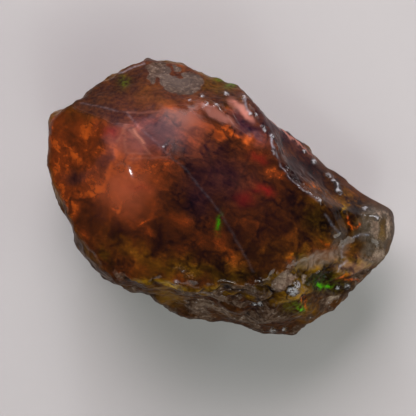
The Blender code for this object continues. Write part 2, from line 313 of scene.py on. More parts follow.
# Fine lines on the same side: painted highlights along ridges, a glowing curl, healed fractures
# and open cracks
LINES = [
    ("crest_highlight", 0.35, [(-12.8, 19.6), (-11.3, 20.3), (-10.3, 20.6), (-9.3, 21.0)]),
    ("crest_highlight", 0.10, [(-18.4, 15.2), (-15.9, 14.8), (-13.2, 14.1), (-11.7, 13.8)]),
    ("crest_highlight", 0.13, [(-11.7, 13.6), (-9.7, 11.4), (-6.7, 8.8), (-5.1, 7.1), (-2.9, 5.2),
                     (-0.6, 2.2), (2.0, -0.9), (5.1, -6.5), (6.5, -9.3)]),
    ("crest_highlight", 0.40, [(17.0, -0.9), (17.8, -2.2), (19.0, -3.6)]),
    ("crest_highlight", 0.95, [(21.0, -4.3), (22.0, -3.9), (23.3, -3.9)]),
    ("crest_highlight", 0.45, [(19.6, -5.5), (19.3, -6.2), (19.4, -7.1)]),
    ("crest_highlight", 0.60, [(18.8, -9.3), (19.3, -8.3), (20.1, -7.7)]),
    ("crest_highlight", 1.00, [(9.1, 10.4), (9.2, 9.2), (9.5, 7.9)]),
    ("crest_highlight", 0.80, [(5.2, 15.8), (5.5, 14.6), (6.1, 13.5)]),
    ("crest_highlight", 0.45, [(9.1, 10.6), (9.3, 9.1), (10.0, 7.7), (10.6, 6.1), (11.9, 4.3),
                     (13.9, 2.6), (15.8, 1.0)]),
    ("ember", 1.10, [(20.3, -1.3), (20.4, -2.3), (21.1, -3.0), (21.6, -2.8), (22.0, -2.3)]),
    ("veil", 0.20, [(-11.7, 13.8), (-9.4, 13.9), (-6.8, 14.1)]),
    ("veil", 0.40, [(-11.9, 12.0), (-13.2, 9.7)]),
    ("veil", 0.30, [(-12.2, 11.9), (-12.0, 8.0), (-8.4, 7.8)]),
    ("veil", 0.40, [(-11.4, 11.3), (-8.4, 7.8)]),
    ("veil", 1.40, [(-10.9, 11.4), (-9.4, 9.4)]),
    ("veil", 0.30, [(-11.3, 7.2), (-8.7, 7.2), (-5.9, 7.5)]),
    ("veil", 0.35, [(-13.3, 6.2), (-12.6, 6.5), (-11.6, 5.9)]),
    ("crack", 0.90, [(3.9, 11.3), (3.6, 10.3)]),
    ("crack", 0.50, [(-5.9, 0.0), (-5.8, -3.2), (-6.1, -6.4)]),
    ("crack", 0.60, [(6.2, 8.3), (5.1, 5.2), (3.6, 2.0)]),
    ("crack", 0.50, [(0.0, 8.4), (0.7, 6.2), (1.2, 4.3)]),
    ("crack", 0.50, [(2.0, 5.2), (4.3, 3.6)]),
]
LINE_WIDTHS = {"crest_highlight": 0.13, "ember": 0.20, "veil": 0.16, "crack": 0.16}
# Sharp ridges too fine for the breaks: height, how wide each one slopes on its left and its right,
# and its course in the same picture
CREASES = [
    (0.45, 1.6, 2.2, [(5.2, 15.8), (6.1, 13.5), (7.8, 11.4), (9.1, 10.4), (9.4, 8.0)]),
    (0.40, 1.2, 1.3, [(-1.7, 15.1), (-0.1, 14.5), (2.5, 13.3), (3.6, 11.6), (6.1, 9.9), (8.7, 8.8)]),
    (0.35, 1.4, 1.0, [(9.4, 8.0), (10.9, 5.2), (12.9, 2.6), (15.8, 1.0), (17.7, -1.0), (19.0, -3.6)]),
    (0.15, 1.2, 1.2, [(6.1, 15.1), (9.7, 11.6), (13.5, 8.4), (17.0, 4.3), (19.9, 1.9)]),
    (0.05, 1.0, 1.0, [(19.2, -6.9), (19.4, -5.4), (20.6, -4.3), (22.2, -3.9), (23.6, -4.3)]),
    (0.35, 1.5, 1.0, [(18.8, -9.3), (19.3, -8.3), (20.4, -7.7), (22.4, -8.2)]),
]
# Small glassy beads, each with a painted glint on its tip: where, how wide and how high
BEADS = [
    ((5.1, 15.9), 0.5, 0.3), ((6.1, 13.5), 0.5, 0.3), ((7.9, 11.7), 0.4, 0.2), ((8.1, 11.2), 0.4, 0.2),
    ((9.2, 10.3), 0.5, 0.2), ((9.4, 8.4), 0.5, 0.2), ((15.2, 6.7), 0.6, 0.3), ((13.9, 8.2), 0.4, 0.2),
    ((18.3, 3.5), 0.7, 0.4), ((18.5, 2.7), 0.6, 0.3), ((16.0, 1.1), 0.5, 0.3), ((15.6, 1.6), 0.4, 0.2),
    ((22.7, 0.0), 0.6, 0.2), ((-0.9, 16.2), 0.4, 0.2), ((-2.6, 15.5), 0.4, 0.2), ((-0.3, 15.1), 0.5, 0.2),
    ((1.2, 14.9), 0.6, 0.2), ((2.6, 16.5), 0.5, 0.2), ((7.5, -10.4), 0.5, 0.2), ((12.5, -10.8), 0.8, 0.4),
    ((12.1, -11.9), 1.3, 0.4), ((6.6, -13.8), 0.5, 0.3), ((7.4, -13.8), 0.5, 0.2), ((15.6, -9.1), 0.5, 0.2),
    ((18.7, -11.5), 0.5, 0.2), ((20.1, -11.4), 0.6, 0.2), ((24.3, -1.4), 0.6, 0.2), ((9.3, -17.7), 0.6, 0.2),
    ((11.0, -17.5), 0.5, 0.2), ((-4.6, -10.7), 0.5, 0.2), ((17.2, 4.7), 0.5, 0.2), ((17.7, 3.9), 0.4, 0.2),
    ((18.9, 2.2), 0.4, 0.2), ((-6.0, 9.2), 0.25, 0.02), ((-6.5, 8.9), 0.3, 0.02),
]

# Noise in the marks and the relief: its pitch in millimetres, its octaves, and where it starts
PATTERNS = {
    "wander_right": (1.6, 3, 7.0), "wander_up": (1.6, 3, 19.0), "rock_edge": (2.6, 4, 3.0),
    "frost_edge": (2.4, 4, 5.0), "depth": (8.0, 3, 11.0), "knobs": (4.4, 2, 2.0),
    "small_knobs": (1.4, 2, 8.0), "frosting": (1.3, 4, 4.0), "chips": (1.0, 2, 6.0),
}
# How strongly it bends the edges of marks, and then of lines
WANDER = 1.6
LINE_WANDER = 0.1
# The girdle, where the stone is widest, as the slope of the way there from the stone's heart, and
# the slopes between which the marks fade in above it
GIRDLE = -0.15
UPPER_SIDE = (GIRDLE, 0.02)
# Where host rock thins out in the picture: going up, going left, and where it comes back at the nose
CLEAN_ABOVE = (-4, 4)
CLEAN_LEFT = (-13, -18)
NOSE_START = (18, 21)
# Host rock, in millimetres past the edge of the glass: where it is whole, how far its own edge
# strays, how far clean places push it back, and where it fades in. Then the most that it covers
ROCK_START = 1.5
ROCK_STRAY = 1.6
ROCK_PUSH = 6.0
ROCK_FADE = (-0.6, 0.9)
ROCK_MOST = 0.85
# How far the frost's edge strays
FROST_STRAY = 0.25
# Relief in millimetres: grains by pitch and height, and how far from its middle, in pitches, a
# grain ends. Then knobs by height and by the depth between them, frosting, and chips on ridges
GRAINS = [(1.0, 0.14), (0.5, 0.06)]
GRAIN_EDGE = 0.55
KNOBS = {"knobs": (1.3, 0.16), "small_knobs": (0.25, 0.05)}
FROST_HEIGHT = 0.09
CHIP_DEPTH = 0.7
RIDGE_WIDTH = 0.6
# Shares below this aren't worked out, and heights below the next count as nothing
LEAST_SHARE = 0.01
NEARLY_ZERO = 1e-6

# How light the amber is at rest, how far slow noise changes it, and what the crust's breaks add
REST_TONE = 0.52
DEPTH_TONE = 0.16
CRUST_TONE = 0.08
# What clouds, specks, veins, fibres and frost add to it, and the painted shade in hollows
CLOUD_TONE = 0.75
SPECK_TONE = 0.12
VEIN_TONE = -0.5
FIBRE_TONE = 0.8
FROST_TONE = -0.27
HOLLOW_SHADE = -0.32
# The contrast of curls, veins and fibres, and what calm places add to it
CONTRAST = 0.52
CALM_CONTRAST = -0.34
# Noise in the stone's looks: pitch in millimetres, detail, distortion and roughness
CLOUDS = {
    "clouds": (5.0, 5, 1.2, 0.6), "curls": (1.9, 4, 2.2, 0.6), "specks": (0.5, 3, 0.0, 0.55),
    "grit": (0.25, 3, 0.0, 0.55), "warp": (3.0, 3, 0.0, 0.5), "patches": (3.5, 2, 0.0, 0.55),
    "fibres": (1.1, 4, 1.0, 0.6), "relief": (0.35, 3, 0.0, 0.55),
}
GRAIN_PITCH = 0.45
VEIN_PITCH = 4.5
VEIN_WARP = (7, 7, 7)
FIBRE_TURN = -VIEW_TURN - math.radians(68)
FIBRE_STRETCH = (0.3, 1.6, 1)
# Fades, each with two stops: a value, and the share that goes with it
FADES = {
    "vein": [(0.00, 1.0), (0.10, 0.0)], "vein_patch": [(0.44, 0.0), (0.60, 1.0)],
    "bloom": [(0.40, 0.02), (0.70, 0.10)], "film": [(0.25, 0.35), (0.55, 0.90)],
    "rock": [(0.35, 0.0), (0.60, 1.0)], "broken": [(0.38, 0.0), (0.58, 0.9)],
    "grain": [(0.10, 1.0), (0.30, 0.0)], "few_grains": [(0.66, 0.0), (0.72, 0.5)],
    "fire": [(0.95, 0.0), (1.00, 0.8)], "green": [(0.70, 0.0), (0.95, 1.0)],
    "crest_highlight": [(0.35, 0.3), (0.70, 1.0)], "painted_glint": [(0.44, 0.0), (0.52, 1.0)],
}
# Colours by tone, from dark to light: the glass's, the film's and the host rock's
AMBER = [
    (0.00, (0.006, 0.003, 0.005)), (0.22, (0.028, 0.008, 0.007)), (0.40, (0.065, 0.018, 0.007)),
    (0.56, (0.13, 0.031, 0.008)), (0.74, (0.28, 0.053, 0.010)), (0.98, (0.85, 0.16, 0.018)),
]
OLIVE = [
    (0.16, (0.004, 0.002, 0.001)), (0.36, (0.022, 0.011, 0.002)), (0.52, (0.078, 0.042, 0.003)),
    (0.70, (0.21, 0.12, 0.006)), (0.90, (0.40, 0.26, 0.02)),
]
# Plum, partly the stone's purplish cloud and partly a painted reflection haze
PLUM_AND_SHEEN = [(0.1, (0.012, 0.005, 0.016)), (0.5, (0.078, 0.028, 0.042)), (0.9, (0.22, 0.09, 0.09))]
FILM = [(0.30, (0.07, 0.06, 0.035)), (0.60, (0.18, 0.15, 0.115))]
ROCK = [
    (0.20, (0.004, 0.002, 0.001)), (0.38, (0.018, 0.009, 0.005)), (0.54, (0.060, 0.034, 0.020)),
    (0.70, (0.14, 0.098, 0.070)), (1.00, (0.34, 0.27, 0.20)),
]
# Plain colours laid over those
# Painted glow of light through the lobe
PAINTED_GLOW = (0.72, 0.17, 0.07)
RED = (0.36, 0.02, 0.015)
BLOOM = (0.50, 0.15, 0.03)
# Painted reflection: milky pink sheen
PINK_SHEEN = (0.60, 0.24, 0.18)
# Painted glints on a few grains of the rock
GRAIN_GLINT = (0.40, 0.40, 0.40)
DUST = (0.088, 0.073, 0.066)
FIRE = (0.75, 0.13, 0.008)
GREEN = (0.06, 0.32, 0.004)
VEIL = (0.50, 0.20, 0.13)
# Painted highlights: pale lines along ridges, and glints on bead tips
CREST_HIGHLIGHT = (0.44, 0.47, 0.54)
PAINTED_GLINT = (0.80, 0.82, 0.86)
CRACK = (0.02, 0.01, 0.01)
# How matt polished glass is, what satin, frost, rock and specks add, and how high its dimples are
POLISHED = 0.04
SATIN = 0.20
FROSTED = 0.24
STONY = 0.18
SPECKLED = 0.04
DIMPLE_HEIGHT = 0.04 * MM
# The glass itself: refraction, mirror-like shine, how clear it is at most, and what it takes from
# light that goes through it, per metre
REFRACTION = 1.37
SHINE = 0.05
CLEARNESS = 0.6
TAKEN_COLOUR = (0.86, 0.55, 0.20, 1)
TAKEN_PER_METRE = 260.0

# The studio, in metres
FLOOR_REACH = 1.5
FLOOR_DROP = 0.02 * MM
FLOOR_COLOUR = (0.455, 0.465, 0.46, 1)
SKY_COLOUR = (0.9, 0.95, 1.0, 1)
SKY_STRENGTH = 0.08
LAMP_AIM = Vector((0, 0, 0.01))
# Each lamp stands so far to the picture's right, towards its top, and up. Then come its size, its
# watts and its colour
LAMPS = [
    ("key", -0.14, 0.70, 0.60, (0.7, 0.45), 3.8, (1.0, 0.86, 0.90)),
    ("key_wide", -0.22, 0.70, 0.60, (1.1, 0.75), 8.3, (1.0, 0.86, 0.90)),
    ("front", 0.0, -0.62, 0.62, (0.9, 0.4), 2.5, (1.0, 0.97, 0.90)),
    ("right_top", 0.50, 0.60, 0.25, (0.3, 0.3), 1.2, (1.0, 0.85, 0.80)),
    ("lower_right", 0.70, -0.35, 0.25, (0.5, 0.4), 2.5, (1.0, 0.98, 0.92)),
    ("glint_left", -0.455, 0.08, 0.60, (0.02, 0.02), 0.12, (1.0, 1.0, 1.0)),
    ("glint_front", 0.10, -0.55, 0.55, (0.12, 0.12), 0.5, (0.95, 0.97, 1.0)),
    ("glint_right", 0.55, 0.45, 0.14, (0.10, 0.10), 0.8, (0.9, 0.95, 1.0)),
    ("glint_top", -0.10, 0.70, 0.24, (0.10, 0.10), 1.0, (0.9, 0.95, 1.0)),
]


def outline_reach(angles):
    points = np.array(OUTLINE) * (LENGTH / 2, WIDTH / 2)
    steps = np.linspace(0, 1, OUTLINE_STEPS, endpoint=False)[:, None]
    before, start = np.roll(points, 1, axis=0), points
    end, after = np.roll(points, -1, axis=0), np.roll(points, -2, axis=0)
    curve = np.concatenate([
        0.5 * (2 * b + (c - a) * steps + (2 * a - 5 * b + 4 * c - d) * steps**2
               + (3 * b - 3 * c + d - a) * steps**3)
        for a, b, c, d in zip(before, start, end, after)
    ])
    around = np.arctan2(curve[:, 1], curve[:, 0])
    order = np.argsort(around)
    return np.interp(angles, around[order], np.hypot(*curve[order].T), period=2 * math.pi)


def pillow_reach(ways):
    plan = np.hypot(ways[:, 0], ways[:, 1]) / outline_reach(np.arctan2(ways[:, 1], ways[:, 0]))
    tall = np.where(ways[:, 2] > 0, ways[:, 2] / CROWN_RISE, -ways[:, 2] / BACK_DROP)
    return (plan**FULLNESS + tall**FULLNESS) ** (-1 / FULLNESS)


def break_reach(ways, point, facing, radius):
    normal = np.array(facing) / np.linalg.norm(facing)
    point = np.array(point) - HEART
    if radius == 0:
        towards = ways @ normal
        return np.where(towards > NEARLY_ZERO, (point @ normal) / np.maximum(towards, NEARLY_ZERO), np.inf)
    centre = point - normal * radius
    along = ways @ centre
    under_root = along**2 - centre @ centre + radius**2
    root = np.sqrt(np.maximum(under_root, 0))
    if radius > 0:
        return along + root
    return np.where((under_root > 0) & (along > 0), along - root, np.inf)


def stone_reach(ways):
    """The stone's reach each way, each skin's share and reach there, and the gap to the next break."""
    reaches = [pillow_reach(ways)]
    skins = [RIND]
    for _, point, facing, radius, skin in BREAKS:
        reaches.append(break_reach(ways, point, facing, radius))
        skins.append(skin)
    reaches, skins = np.array(reaches), np.array(skins)
    nearest = reaches.min(axis=0)
    weights = np.exp((nearest - reaches) / RIDGE_SOFTNESS)
    reach = nearest - RIDGE_SOFTNESS * np.log(weights.sum(axis=0))
    shares = np.array([weights[skins == skin].sum(axis=0) for skin in SKINS]) / weights.sum(axis=0)
    by_skin = np.array([reaches[skins == skin].min(axis=0) for skin in SKINS])
    two = np.partition(reaches, 1, axis=0)[:2]
    return reach, shares, by_skin, two[1] - two[0]


def lump_rise(points):
    rise = np.zeros(len(points))
    for _, place, spread, height in LUMPS:
        apart = np.linalg.norm(points - place, axis=1) / spread
        rise += height * np.exp(-apart**2)
    return rise


def waves(points, pitch, octaves, shift=0.0):
    return np.array([noise.fractal(Vector(p / pitch + shift), 1.0, 2.0, octaves) for p in points])


def pattern(points, name):
    return waves(points, *PATTERNS[name])


def rough_rise(points, shares):
    rise = np.zeros(len(points))
    for skin, (height, pitch, octaves) in ROUGHNESS.items():
        rise += shares[skin] * height * waves(points, pitch, octaves)
    return rise


def fitted(points):
    """The points moved and scaled to fill the stone's box, resting at height 0."""
    points[:, 2] = np.maximum(points[:, 2], 0)
    low, high = points.min(axis=0), points.max(axis=0)
    middle = (low + high) / 2
    middle[2] = 0
    return (points - middle) * (LENGTH, WIDTH, HEIGHT) / (high - low)


def sphere_grid(cuts):
    ball = bmesh.new()
    bmesh.ops.create_cube(ball, size=2.0)
    bmesh.ops.subdivide_edges(ball, edges=ball.edges, cuts=cuts, use_grid_fill=True)
    for vert in ball.verts:
        even = Vector([math.tan(c * math.pi / 4) for c in vert.co])
        vert.co = even.normalized()
    return ball


def soft_step(values, start, end):
    share = np.clip((values - start) / (end - start), 0, 1)
    return share * share * (3 - 2 * share)


def picture_places(points):
    """Where the camera sees each point, rightwards and upwards from the middle of its picture."""
    away = points - VIEW_MIDDLE
    nearer = VIEW_DISTANCE / (VIEW_DISTANCE - away[:, 2])
    return np.stack([away @ RIGHT, away @ UP], axis=1) * nearer[:, None]


def mark_strength(kind, seen, wander):
    stray, crispness = MARK_EDGES[kind]
    strength = np.zeros(len(seen))
    for name, place, size, turn, most in MARKS:
        if name != kind:
            continue
        offset = seen + wander * stray - place
        c, s = math.cos(math.radians(turn)), math.sin(math.radians(turn))
        along = (offset[:, 0] * c + offset[:, 1] * s) / size[0]
        aside = (offset[:, 1] * c - offset[:, 0] * s) / size[1]
        strength += most * np.exp(-((along**2 + aside**2) ** crispness))
    return strength


def stretches(seen, places):
    """For each stretch of a line: its run, and how far each place is from its start and from it."""
    for start, end in zip(np.array(places), np.array(places[1:])):
        run, offset = end - start, seen - start
        along = np.clip(offset @ run / (run @ run), 0, 1)
        yield run, offset, offset - along[:, None] * run


def line_strength(kind, seen, wander):
    strength = np.zeros(len(seen))
    for name, most, places in LINES:
        if name != kind:
            continue
        for _, _, aside in stretches(seen, places):
            apart = np.linalg.norm(aside + wander * LINE_WANDER, axis=1)
            strength = np.maximum(strength, most * np.exp(-((apart / LINE_WIDTHS[kind]) ** 2)))
    return strength


def crease_rise(seen):
    rise = np.zeros(len(seen))
    for height, left, right, places in CREASES:
        crease = np.zeros(len(seen))
        for run, offset, aside in stretches(seen, places):
            leftward = run[0] * offset[:, 1] > run[1] * offset[:, 0]
            apart = np.linalg.norm(aside, axis=1)
            crease = np.maximum(crease, 1 - apart / np.where(leftward, left, right))
        rise += height * crease
    return rise


def bead_shares(seen):
    """How far up a bead each point is, from 0 to 1, and how high that lifts it."""
    shares, rise = np.zeros((2, len(seen)))
    for place, size, height in BEADS:
        share = np.exp(-(np.linalg.norm(seen - place, axis=1) / size) ** 2)
        shares = np.maximum(shares, share)
        rise += height * share
    return shares, rise


def clean_share(seen):
    """How free of host rock each place is: the upper half short of the nose, and the left end."""
    above = soft_step(seen[:, 1], *CLEAN_ABOVE) * (1 - soft_step(seen[:, 0], *NOSE_START))
    return np.maximum(above, soft_step(seen[:, 0], *CLEAN_LEFT))


def add_rock(fields, points, ways, seen, by_skin):
    """Adds host rock and bumps to the fields, and gives the share of the skin outside the glass."""
    glass, frost, crust, rind = by_skin
    clean = clean_share(seen)
    past_edge = np.minimum(np.minimum(glass, frost) - np.minimum(crust, rind), ROCK_START)
    on_rind = soft_step(crust - rind, -0.5, 0.5)
    rocky = past_edge + ROCK_STRAY * pattern(points, "rock_edge") - ROCK_START
    rocky = soft_step(rocky - ROCK_PUSH * clean * on_rind, *ROCK_FADE) * ROCK_MOST
    smooth = np.clip(np.maximum(fields["window"], 1.6 * fields["pale"]), 0, 1)
    rocky = np.maximum(rocky, fields.pop("rock")) * (1 - fields.pop("window"))
    off_girdle = soft_step(np.abs(ways[:, 2] - GIRDLE), 0.15, 0.45)
    bumps = soft_step(past_edge, -0.4, ROCK_START) * (1 - 0.75 * clean) * (0.25 + 0.75 * off_girdle)
    rocky_bumps = rocky * (1 - 0.85 * clean) * (0.4 + 0.6 * off_girdle)
    bumps = np.maximum(np.maximum(bumps, rocky_bumps), 0.7 * fields["chips"])
    fields["bumps"] = bumps * (1 - 0.8 * smooth)
    fields["crust"] = rocky
    return soft_step(past_edge, -0.5, 0.8)


def add_beads(fields, seen, upper):
    """Adds the beads, which are clear glass, with a painted glint on each tip."""
    beads, rise = bead_shares(seen)
    for name in ("dense", "crust", "frost"):
        fields[name] *= 1 - soft_step(beads, 0.3, 0.8) * upper
    # Painted glint: a near-white spot on each bead's tip
    fields["painted_glint"] = soft_step(beads, 0.60, 1.00) * upper
    fields["rise"] = rise * upper


def surface_fields(points, ways, upper, by_skin, gap):
    """What each point of the skin is made of and marked with, as shares, and how high beads lift it."""
    seen = picture_places(points)
    wander = WANDER * np.stack([pattern(points, "wander_right"), pattern(points, "wander_up")], axis=1)
    fields = {kind: mark_strength(kind, seen, wander) * upper for kind in MARK_EDGES}
    fields.update({kind: line_strength(kind, seen, wander) * upper for kind in LINE_WIDTHS})
    fields["fire"] = np.maximum(fields["fire"], fields.pop("ember"))
    outside = add_rock(fields, points, ways, seen, by_skin)
    glass, frost, _, rind = by_skin
    frosting = glass - np.minimum(frost, rind) + FROST_STRAY * pattern(points, "frost_edge")
    fields["frost"] = soft_step(frosting, -0.4, 0.4)
    for share in (0.9 * outside, 0.6 * fields["plum_and_sheen"], 0.9 * fields["frost"]):
        fields["dense"] = np.maximum(fields["dense"], share)
    fields["olive"] += 0.9 * outside
    fields["tone"] += REST_TONE + DEPTH_TONE * pattern(points, "depth") + CRUST_TONE * outside
    fields["ridge"] = np.exp(-gap / RIDGE_WIDTH)
    add_beads(fields, seen, upper)
    return fields


def fine_rise(points, fields):
    """The fine relief: grains and pits on the crust, a dimpled skin where frosted, chips on ridges."""
    rise = fields.pop("rise")
    rocky = fields["crust"] > LEAST_SHARE
    gritty = (fields["crust"] * (1 - 0.85 * np.clip(fields["calm"], 0, 1)))[rocky]
    for pitch, height in GRAINS:
        nearest = np.array([noise.voronoi(Vector(p / pitch))[0][0] for p in points[rocky]])
        rise[rocky] += gritty * height * (GRAIN_EDGE - nearest)
    bumpy = fields["bumps"] > LEAST_SHARE
    bumps = fields.pop("bumps")[bumpy]
    knobs = np.zeros(len(bumps))
    for name, (height, depth) in KNOBS.items():
        knobs += height * np.abs(pattern(points[bumpy], name)) - depth
    rise[bumpy] += bumps * knobs
    # Painted shade: darker in the hollows between knobs
    fields["hollow"] = np.zeros(len(points))
    fields["hollow"][bumpy] = bumps * (1 - soft_step(knobs, -0.22, 0.05))
    frosted = (fields["frost"] > LEAST_SHARE) & ~rocky
    rise[frosted] += fields["frost"][frosted] * FROST_HEIGHT * pattern(points[frosted], "frosting")
    chipped = fields.pop("ridge") * fields.pop("chips") * (1 - fields["crust"])
    edge = chipped > 0.05
    rise[edge] -= chipped[edge] * CHIP_DEPTH * np.clip(pattern(points[edge], "chips"), -0.1, 0.5)
    return rise


def put(tree, kind, inputs=None, **settings):
    """A new node, with its settings, its values and what its sockets are linked from."""
    node = tree.nodes.new(kind)
    for name, value in settings.items():
        setattr(node, name, value)
    for name, value in (inputs or {}).items():
        if isinstance(value, bpy.types.NodeSocket):
            tree.links.new(value, node.inputs[name])
        else:
            node.inputs[name].default_value = value
    return node


def sums(tree, operation, first, second=0.5, third=0.5):
    node = put(tree, "ShaderNodeMath", {0: first, 1: second, 2: third}, operation=operation)
    return node.outputs[0]


def field(tree, name):
    return put(tree, "ShaderNodeAttribute", attribute_name=name).outputs["Fac"]


def changed(tree, value, name, change):
    """The value, changed by so much where the skin has a mark."""
    return sums(tree, "MULTIPLY_ADD", field(tree, name), change, value)


def mottled(tree, value, noise_share, change):
    """The value, changed up and down by a noise that has its middle at 0.5."""
    return sums(tree, "MULTIPLY_ADD", sums(tree, "SUBTRACT", noise_share, 0.5), change, value)


def blend(tree, share, first, second):
    node = put(tree, "ShaderNodeMix", data_type="RGBA")
    for socket, value in ((node.inputs[0], share), (node.inputs[6], first), (node.inputs[7], second)):
        if isinstance(value, bpy.types.NodeSocket):
            tree.links.new(value, socket)
        else:
            socket.default_value = (*value, 1)
    return node.outputs[2]


def tinted(tree, colour, name, most, tint):
    """The colour, with another over it where the skin has a mark."""
    return blend(tree, sums(tree, "MULTIPLY", field(tree, name), most), colour, tint)


def ramp(tree, value, stops):
    node = put(tree, "ShaderNodeValToRGB", {0: value})
    elements = node.color_ramp.elements
    while len(elements) < len(stops):
        elements.new(0.5)
    for element, (place, colour) in zip(elements, stops):
        element.position = place
        element.color = (*colour, 1) if isinstance(colour, tuple) else (colour, colour, colour, 1)
    return node.outputs[0]


def fade(tree, value, name):
    return ramp(tree, value, FADES[name])


def flashing(tree, colour, name, specks, tint):
    """The colour, with play of colour over it: in specks, and whole at a mark's core."""
    mark = field(tree, name)
    broken = sums(tree, "MULTIPLY", mark, fade(tree, specks, "broken"))
    return blend(tree, sums(tree, "MAXIMUM", broken, fade(tree, mark, name)), colour, tint)


def millimetres(tree):
    place = put(tree, "ShaderNodeTexCoord").outputs["Object"]
    return put(tree, "ShaderNodeVectorMath", {0: place, "Scale": 1 / MM}, operation="SCALE").outputs[0]


def cloud(tree, place, name, output="Fac"):
    pitch, detail, distortion, roughness = CLOUDS[name]
    values = {"Vector": place, "Scale": 1 / pitch, "Detail": detail, "Distortion": distortion,
              "Roughness": roughness}
    return put(tree, "ShaderNodeTexNoise", values).outputs[output]


def principled(name):
    material = bpy.data.materials.new(name)
    material.use_nodes = True
    return material, material.node_tree, material.node_tree.nodes["Principled BSDF"]


def vein_share(tree, place):
    """Thin winding veins, in patches: the borders between warped cells."""
    warp = cloud(tree, place, "warp", "Color")
    bent = put(tree, "ShaderNodeVectorMath", {0: warp, 1: VEIN_WARP, 2: place}, operation="MULTIPLY_ADD")
    cells = put(tree, "ShaderNodeTexVoronoi", {"Vector": bent.outputs[0], "Scale": 1 / VEIN_PITCH},
                feature="DISTANCE_TO_EDGE")
    patchy = fade(tree, cloud(tree, place, "patches"), "vein_patch")
    return sums(tree, "MULTIPLY", fade(tree, cells.outputs["Distance"], "vein"), patchy)


def fibre_share(tree, place):
    turned = put(tree, "ShaderNodeMapping",
                 {"Vector": place, "Rotation": (0, 0, FIBRE_TURN), "Scale": FIBRE_STRETCH})
    return cloud(tree, turned.outputs[0], "fibres")


def amber_tone(tree, place, curls, specks):
    """How light the glass is: clouds, curls, veins and fibres, which fade where it is calm."""
    calm = sums(tree, "MAXIMUM", field(tree, "frost"), field(tree, "calm"))
    contrast = sums(tree, "MULTIPLY_ADD", calm, CALM_CONTRAST, CONTRAST)
    tone = mottled(tree, field(tree, "tone"), cloud(tree, place, "clouds"), CLOUD_TONE)
    tone = mottled(tree, tone, curls, contrast)
    tone = mottled(tree, tone, specks, SPECK_TONE)
    veins = sums(tree, "MULTIPLY", vein_share(tree, place), contrast)
    tone = sums(tree, "MULTIPLY_ADD", veins, VEIN_TONE, tone)
    tone = mottled(tree, tone, fibre_share(tree, place), sums(tree, "MULTIPLY", contrast, FIBRE_TONE))
    tone = changed(tree, tone, "frost", FROST_TONE)
    # Painted shade in the hollows between knobs
    return changed(tree, tone, "hollow", HOLLOW_SHADE)


def glass_colour(tree, tone, curls, specks):
    """Amber with olive, plum with painted sheen, painted glow, red and painted pink sheen in places, and a
    bloom or a film on its skin.
    """
    colour = ramp(tree, tone, AMBER)
    colour = tinted(tree, colour, "olive", 0.9, ramp(tree, tone, OLIVE))
    # Plum: partly the stone's purplish cloud, partly a painted reflection haze and sheen
    colour = tinted(tree, colour, "plum_and_sheen", 0.6, ramp(tree, tone, PLUM_AND_SHEEN))
    # Painted glow: coral light shining through the lobe
    colour = tinted(tree, colour, "painted_glow", 0.85, PAINTED_GLOW)
    colour = tinted(tree, colour, "red", 0.8, RED)
    colour = tinted(tree, colour, "frost", fade(tree, specks, "bloom"), BLOOM)
    # Painted reflection: milky pink sheen on planes along the step
    colour = tinted(tree, colour, "pink_sheen", 0.75, PINK_SHEEN)
    return tinted(tree, colour, "film", fade(tree, curls, "film"), ramp(tree, curls, FILM))


def add_host_rock(tree, colour, place, rocky, coarse, curls, grit):
    """The colour, with granular host rock over it: painted glints on a few grains, and dust where it is
    calm.
    """
    grains = put(tree, "ShaderNodeTexVoronoi", {"Vector": place, "Scale": 1 / GRAIN_PITCH}).outputs
    tone = sums(tree, "MULTIPLY_ADD", curls, 0.6, sums(tree, "MULTIPLY", field(tree, "pale"), 0.34))
    tone = sums(tree, "MULTIPLY_ADD", grains["Color"], 0.2, tone)
    tone = mottled(tree, sums(tree, "ADD", tone, 0.15), grit, sums(tree, "MULTIPLY", coarse, 0.3))
    # Painted shade in the hollows between knobs
    tone = changed(tree, tone, "hollow", HOLLOW_SHADE)
    colour = blend(tree, rocky, colour, ramp(tree, tone, ROCK))
    # Painted glints: pale dots on a few grains of the rock
    few = fade(tree, grains["Color"], "few_grains")
    grain_glints = sums(tree, "MULTIPLY", fade(tree, grains["Distance"], "grain"), few)
    grain_glints = sums(tree, "MULTIPLY", sums(tree, "MULTIPLY", grain_glints, rocky), coarse)
    colour = blend(tree, grain_glints, colour, GRAIN_GLINT)
    return tinted(tree, colour, "calm", sums(tree, "MULTIPLY", rocky, 0.55), DUST)


def add_flashes(tree, colour, specks):
    """The colour, with fire, green, healed fractures, painted ridge highlights, painted bead glints and
    cracks over it.
    """
    colour = flashing(tree, colour, "fire", specks, FIRE)
    colour = flashing(tree, colour, "green", specks, GREEN)
    colour = tinted(tree, colour, "veil", 0.8, VEIL)
    # Painted highlight: pale blue-white lines along ridges
    colour = tinted(tree, colour, "crest_highlight", fade(tree, specks, "crest_highlight"), CREST_HIGHLIGHT)
    # Painted glints on the bead tips
    colour = tinted(tree, colour, "painted_glint", fade(tree, specks, "painted_glint"), PAINTED_GLINT)
    return tinted(tree, colour, "crack", 1.0, CRACK)


def add_finish(tree, shader, place, rocky, coarse, specks, grit):
    """Polished glass, matt where it is satin or frosted, and fine dimples on frost and rock."""
    matt = changed(tree, POLISHED, "frost", FROSTED)
    matt = changed(tree, matt, "satin", SATIN)
    matt = sums(tree, "MULTIPLY_ADD", rocky, STONY, matt)
    tree.links.new(sums(tree, "MULTIPLY_ADD", specks, SPECKLED, matt), shader.inputs["Roughness"])
    dimpled = sums(tree, "MAXIMUM", matt, sums(tree, "MULTIPLY", rocky, coarse))
    dimples = put(tree, "ShaderNodeBump", {
        "Height": sums(tree, "MULTIPLY_ADD", rocky, grit, cloud(tree, place, "relief")),
        "Strength": sums(tree, "MULTIPLY_ADD", dimpled, 0.4, 0.03),
        "Distance": DIMPLE_HEIGHT,
    })
    tree.links.new(dimples.outputs[0], shader.inputs["Normal"])


